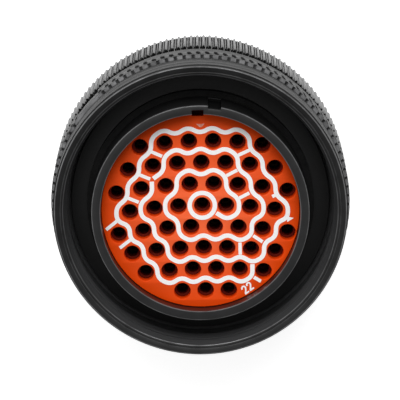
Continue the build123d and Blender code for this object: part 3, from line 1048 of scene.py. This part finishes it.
insert_front = plate("insert_front", INSERT_RADIUS, BORE_STEP - 0.2, SEAL_REAR, CAVITIES, INSERT_HOLE, 0.08)
insert_rear = plate("insert_rear", REAR_INSERT_RADIUS, INSERT_REAR, BORE_STEP, CAVITIES, INSERT_HOLE, 0.08)
key_inside, key_outside = INSERT_KEY_RADII
key_outline = soften(
    [
        (key_inside, BORE_STEP - 0.1),
        (key_outside, BORE_STEP - 0.1),
        (key_outside, INSERT_KEY_FRONT),
        (key_inside, INSERT_KEY_FRONT),
    ],
    0.1,
)
key_angles = np.linspace(KEYWAY_ANGLE - INSERT_KEY_HALF, KEYWAY_ANGLE + INSERT_KEY_HALF, 9)
insert_key = lathe("insert_key", key_outline, key_angles)
insert = joined("insert_body", insert_front, insert_rear, insert_key)
dress(insert, "insert_plastic", "shell", "front_insert")

grommet_front = plate(
    "grommet_front", INSERT_RADIUS - 0.1, RETAINER_REAR - 0.2, STACK_REAR, CAVITIES, GROMMET_HOLE, 0.08
)
grommet_rear = plate(
    "grommet_rear", REAR_INSERT_RADIUS, GROMMET_REAR, RETAINER_REAR, CAVITIES, GROMMET_HOLE, 0.3
)
grommet = joined("grommet_body", grommet_front, grommet_rear)
dress(grommet, "face_rubber", "shell", "rear_grommet")


# White print on the soft face: the winding line, its cross strokes and two small marks

STROKE = 1.03
CROSS_STROKE = 0.8
FIGURE_STROKE = 0.37
INK_FOOT = SEAL_FRONT - 0.02
TRAIL_CENTRE = (FIELD_X, 1.05)
TRAIL_START_RADIUS = 2.9
order = {place: cell for cell, place in spiral_places().items()}
END_WALL = wall_between(order[37], (order[37][0] + 1, order[37][1]))
GAP_CORNER = frozenset(((-2.0, 2), (-2.5, 1), (-1.5, 1)))


def off_centre(point):
    """Distance from the middle of the winding line."""
    return hypot(point[0] - TRAIL_CENTRE[0], point[1] - TRAIL_CENTRE[1])


def trimmed(points, share):
    """Starts a line a little later, so that it doesn't touch what it runs up to."""
    first, second = np.array(points[0]), np.array(points[1])
    return [tuple(first + (second - first) * share)] + list(points[1:])


def printed_runs():
    """The winding line as lists of points, open at the gaps that the photo shows."""
    walls = [w for w in winding_walls() if frozenset(w) != frozenset(END_WALL)]
    for run in chained(walls):
        if GAP_CORNER in run[1:-1]:
            at = run.index(GAP_CORNER)
            parts = [run[: at + 1], run[at:]]
        else:
            parts = [run]
        for part in parts:
            points = [corner(c) for c in part]
            for _ in range(2):
                key, part = part[0], part[::-1]
                if key in END_WALL:
                    other = corner(next(c for c in END_WALL if c != key))
                    points = trimmed([other] + points, 0.1)
                elif key == GAP_CORNER or off_centre(points[0]) < 4.2:
                    points = trimmed(points, 0.13)
                points = points[::-1]
            yield points


print_lines = [rounded_run(points, 0.45) for points in printed_runs()]
closed_lines = {len(print_lines)}
print_lines.append(
    [
        (TRAIL_CENTRE[0] + TRAIL_START_RADIUS * cos(a), TRAIL_CENTRE[1] + TRAIL_START_RADIUS * sin(a))
        for a in np.linspace(0, 2 * pi, 61)[:-1]
    ]
)


def cross_stroke(one, other, start=0.0, end=1.0):
    """A short stroke on the edge between two cells, or on a part of it."""
    a, b = (np.array(corner(c)) for c in wall_between(one, other))
    if np.hypot(*b) < np.hypot(*a):
        a, b = b, a
    return [a + (b - a) * start, a + (b - a) * end]


strokes = [
    cross_stroke(order[19], order[20], 0.08, 0.94),
    cross_stroke(order[24], order[25], 0.05, 1.0),
    cross_stroke(order[10], order[11], 0.05, 0.92),
    cross_stroke(order[9], order[10], 0.05, 0.86),
    cross_stroke(order[22], order[23], 0.72, 1.0),
    cross_stroke(order[20], order[21], 0.1, 0.88),
    cross_stroke(order[28], order[29], 0.12, 1.0),
    cross_stroke(order[29], order[30], 0.12, 1.0),
    cross_stroke(order[30], order[31], 0.12, 1.0),
    cross_stroke((2.5, -3), (2.0, -4), 0.12, 0.72),
    cross_stroke((-4.0, 0), (-3.5, -1), 0.0, 0.95),
    cross_stroke((-3.5, -1), (-3.0, -2), 0.0, 0.95),
]


FIGURE_BOW = (
    (0.02, 1.3),
    (0.14, 1.66),
    (0.5, 1.84),
    (0.84, 1.68),
    (0.93, 1.36),
    (0.8, 0.98),
    (0.36, 0.42),
    (0.06, 0.04),
)
FIGURE_FOOT = ((-0.08, 0.05), (1.08, 0.05))


def figure_two(corner_x, corner_y, lean=radians(35)):
    """The strokes of a small figure 2 whose lower left corner is given."""
    turned = [
        [
            (corner_x + x * cos(lean) - y * sin(lean), corner_y + x * sin(lean) + y * cos(lean))
            for x, y in stroke
        ]
        for stroke in (FIGURE_BOW, FIGURE_FOOT)
    ]
    return [rounded_run(turned[0]), np.array(turned[1])]


small_strokes = figure_two(9.86, -20.08) + figure_two(11.0, -19.26)
number_print = ribbons("number_print", small_strokes, FIGURE_STROKE, INK_FOOT, SEAL_FRONT + 0.03)
number_print.data.materials.append(INK)
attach(number_print, "shell")


def flat_mark(name, corners, ink):
    """A small printed patch with straight edges."""
    outline = soften(corners)
    count = len(outline)
    vertices = [(x, y, z) for z in (INK_FOOT, SEAL_FRONT + 0.025) for x, y in outline]
    faces = [tuple(range(count)), tuple(range(count, 2 * count))]
    faces += [(k, (k + 1) % count, count + (k + 1) % count, count + k) for k in range(count)]
    mark = new_mesh(name, vertices, faces)
    mark.data.materials.append(ink)
    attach(mark, "shell")


flat_mark("side_mark", ((19.75, -2.05), (21.42, -2.5), (19.9, -3.4)), INK)
flat_mark("top_mark", ((-0.5, 20.1), (0.5, 20.0), (1.5, 20.1), (0.8, 19.3), (0.35, 19.3)), FAINT_INK)
winding = ribbons("winding", print_lines, STROKE, INK_FOOT, SEAL_FRONT + 0.035, closed_lines)
crossing = ribbons("crossing", strokes, CROSS_STROKE, INK_FOOT - 0.005, SEAL_FRONT + 0.0305)
face_print = joined("face_print", winding, crossing)
face_print.data.materials.append(INK)
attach(face_print, "shell")


# Camera at the photograph's angle

TILT = radians(10.8)
ROLL = radians(1.6)
CAMERA_DISTANCE = 0.8
AIM_UP, AIM_LEFT = 0.0031, 0.0001
across_tilt = Vector((sin(ROLL), cos(ROLL), 0))
towards = sin(TILT) * across_tilt + cos(TILT) * Vector((0, 0, 1))
upwards = cos(TILT) * across_tilt - sin(TILT) * Vector((0, 0, 1))
rightwards = (-towards).cross(upwards)
face_centre = Vector((0, 0, CONNECTOR_LENGTH * MM))
camera_at = face_centre + CAMERA_DISTANCE * towards
aim = face_centre + upwards * AIM_UP - rightwards * AIM_LEFT
back = (camera_at - aim).normalized()
side = upwards.cross(back).normalized()
top = back.cross(side)
lens = bpy.data.cameras.new("camera")
lens.lens = 314.78
lens.sensor_width = 36
lens.sensor_fit = "HORIZONTAL"
lens.clip_start = 0.01
lens.clip_end = 50
camera = bpy.data.objects.new("camera", lens)
turn = Matrix((side, top, back)).transposed().to_4x4()
camera.matrix_world = Matrix.Translation(camera_at) @ turn
bpy.context.scene.collection.objects.link(camera)
bpy.context.scene.camera = camera


# Floor and light

FLOOR_GLOW = 0.68
REFLECTED_SHARE = 0.6
n = Nodes("floor_white")
floor_noise = n.noise(n.place(), 0.02, 2.0)
floor_tone = n.mixed(n.ranged(floor_noise, 0.3, 0.7), (0.9, 0.9, 0.9, 1), (0.92, 0.92, 0.92, 1))
floor_shade = n.add("ShaderNodeBsdfPrincipled", Base_Color=floor_tone, Roughness=0.6)
rays = n.add("ShaderNodeLightPath").outputs
seen = n.maths("MAXIMUM", rays["Is Camera Ray"], n.maths("MULTIPLY", rays["Is Glossy Ray"], REFLECTED_SHARE))
seen = n.maths("MAXIMUM", seen, rays["Is Transmission Ray"])
glow = n.add("ShaderNodeEmission", Strength=n.maths("MULTIPLY", seen, FLOOR_GLOW))
floor_sum = n.add("ShaderNodeAddShader")
n.feed(floor_sum.inputs[0], floor_shade.outputs[0])
n.feed(floor_sum.inputs[1], glow.outputs[0])
n.feed(n.output.inputs["Surface"], floor_sum.outputs[0])
bpy.ops.mesh.primitive_plane_add(size=6, location=(0, 0, 0))
floor = bpy.context.object
floor.name = "floor"
floor.data.materials.append(n.material)

# Soft light all round, dimmer overhead and on the picture's lower side and right. Each pair of
# the sky's levels gives a height of the direction and the light that comes from there.
SKY = ((0.0, 0.75), (0.45, 0.95), (0.8, 0.85), (0.93, 0.5), (1.0, 0.25))
world = bpy.data.worlds.new("studio")
bpy.context.scene.world = world
world.use_nodes = True
sky = world.node_tree
sky_direction = sky.nodes.new("ShaderNodeTexCoord")
sky_split = sky.nodes.new("ShaderNodeSeparateXYZ")
sky.links.new(sky_direction.outputs["Generated"], sky_split.inputs[0])
sky_ramp = sky.nodes.new("ShaderNodeValToRGB")
sky.links.new(sky_split.outputs["Z"], sky_ramp.inputs["Fac"])
while len(sky_ramp.color_ramp.elements) < len(SKY):
    sky_ramp.color_ramp.elements.new(0.5)
for element, (position, level) in zip(sky_ramp.color_ramp.elements, SKY):
    element.position = position
    element.color = (level, level, level, 1)


def dimmed(light, direction, limits, levels):
    """The sky's light, scaled by a level that changes between two limits of a direction."""
    level = sky.nodes.new("ShaderNodeMapRange")
    level.inputs["From Min"].default_value, level.inputs["From Max"].default_value = limits
    level.inputs["To Min"].default_value, level.inputs["To Max"].default_value = levels
    sky.links.new(sky_split.outputs[direction], level.inputs["Value"])
    scaled = sky.nodes.new("ShaderNodeVectorMath")
    scaled.operation = "SCALE"
    sky.links.new(light, scaled.inputs[0])
    sky.links.new(level.outputs[0], scaled.inputs["Scale"])
    return scaled.outputs[0]


sky_light = dimmed(sky_ramp.outputs["Color"], "Y", (-0.65, 0.05), (0.22, 1.0))
sky_light = dimmed(sky_light, "X", (0.0, 0.8), (1.0, 0.45))
sky.links.new(sky_light, sky.nodes["Background"].inputs["Color"])
sky.nodes["Background"].inputs["Strength"].default_value = 1.0


def soft_light(name, azimuth, elevation, distance, size, power):
    """A square soft light that faces the connector. Azimuth 90 is the picture's top side."""
    a, e = radians(azimuth), radians(elevation)
    at = Vector((cos(a) * cos(e), sin(a) * cos(e), sin(e))) * distance
    light = bpy.data.lights.new(name, "AREA")
    light.shape = "SQUARE"
    light.size = size
    light.energy = power
    item = bpy.data.objects.new(name, light)
    item.location = at
    item.rotation_euler = at.to_track_quat("Z", "Y").to_euler()
    bpy.context.scene.collection.objects.link(item)


soft_light("key", azimuth=90, elevation=50, distance=1.2, size=0.8, power=9.0)

bpy.context.scene.view_settings.view_transform = "Standard"
